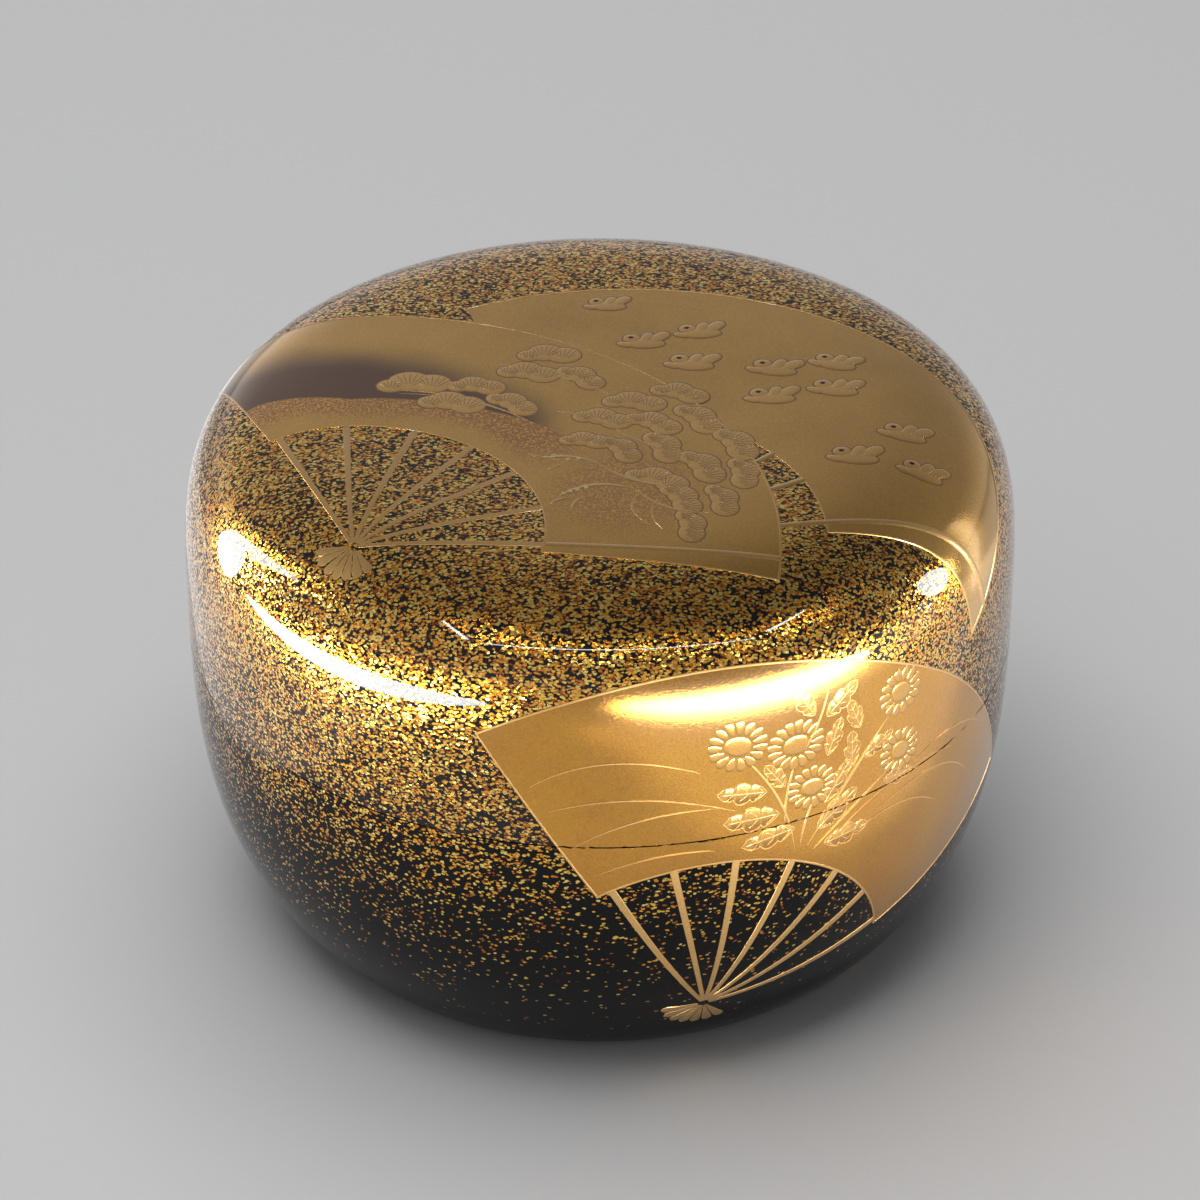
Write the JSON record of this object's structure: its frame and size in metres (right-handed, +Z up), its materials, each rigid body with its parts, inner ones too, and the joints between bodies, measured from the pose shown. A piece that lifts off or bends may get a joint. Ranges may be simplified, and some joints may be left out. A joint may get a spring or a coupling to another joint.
{
  "type": "lacquer tea caddy",
  "caption": "Flat round tea caddy of turned, lacquered wood, with a deep lift-off lid over a thin inner rim and gold fan pictures on flaked lacquer.",
  "frame": {"origin": "centre of the foot ring, on the surface that the caddy stands on", "axes": "+Z up along the axis that the caddy is turned about; -Y faces the viewer of the picture, +X to the viewer's right"},
  "size_m": [0.082, 0.082, 0.0556],
  "materials": {
    "black_lacquer": "polished black lacquer over turned wood, with gold flakes that thin out towards the foot",
    "flaked_lacquer": "dense gold flakes in polished dark lacquer over turned wood"
  },
  "bodies": {
    "root": {"body": "black_lacquer", "lid": "flaked_lacquer"}
  },
  "joints": []
}
